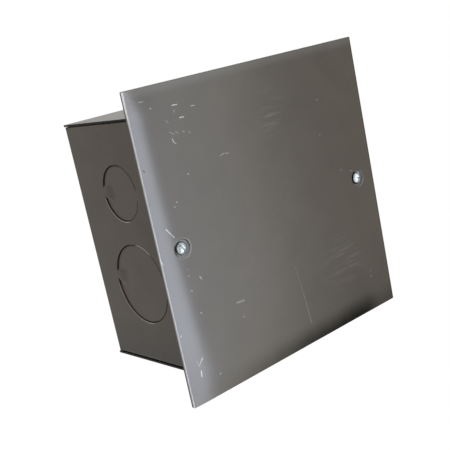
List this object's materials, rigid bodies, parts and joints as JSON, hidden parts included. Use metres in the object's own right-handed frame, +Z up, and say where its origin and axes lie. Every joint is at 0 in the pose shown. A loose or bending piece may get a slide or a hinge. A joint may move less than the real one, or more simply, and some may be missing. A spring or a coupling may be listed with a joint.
{
  "type": "flush back box",
  "caption": "Square folded-steel flush electrical box with knockouts in its walls, closed by an oversize flat cover held by slotted screws.",
  "frame": {"origin": "centre of the outer face of the back, in the middle of the fixing holes", "axes": "+X to the right seen from the front, +Y out of the back into the wall, +Z up; the cover faces -Y"},
  "size_m": [0.184, 0.0899, 0.184],
  "materials": {
    "box_paint": "satin dark warm grey paint",
    "end_plate_paint": "satin dark warm grey paint",
    "cover_paint": "satin grey paint, scratched",
    "screw_zinc": "bright zinc plate"
  },
  "bodies": {
    "root": {"box_wrapper": "box_paint", "top_end_plate": "end_plate_paint", "bottom_end_plate": "end_plate_paint", "cover_plate": "cover_paint", "cover_screw_left": "screw_zinc", "cover_screw_right": "screw_zinc"}
  },
  "joints": []
}
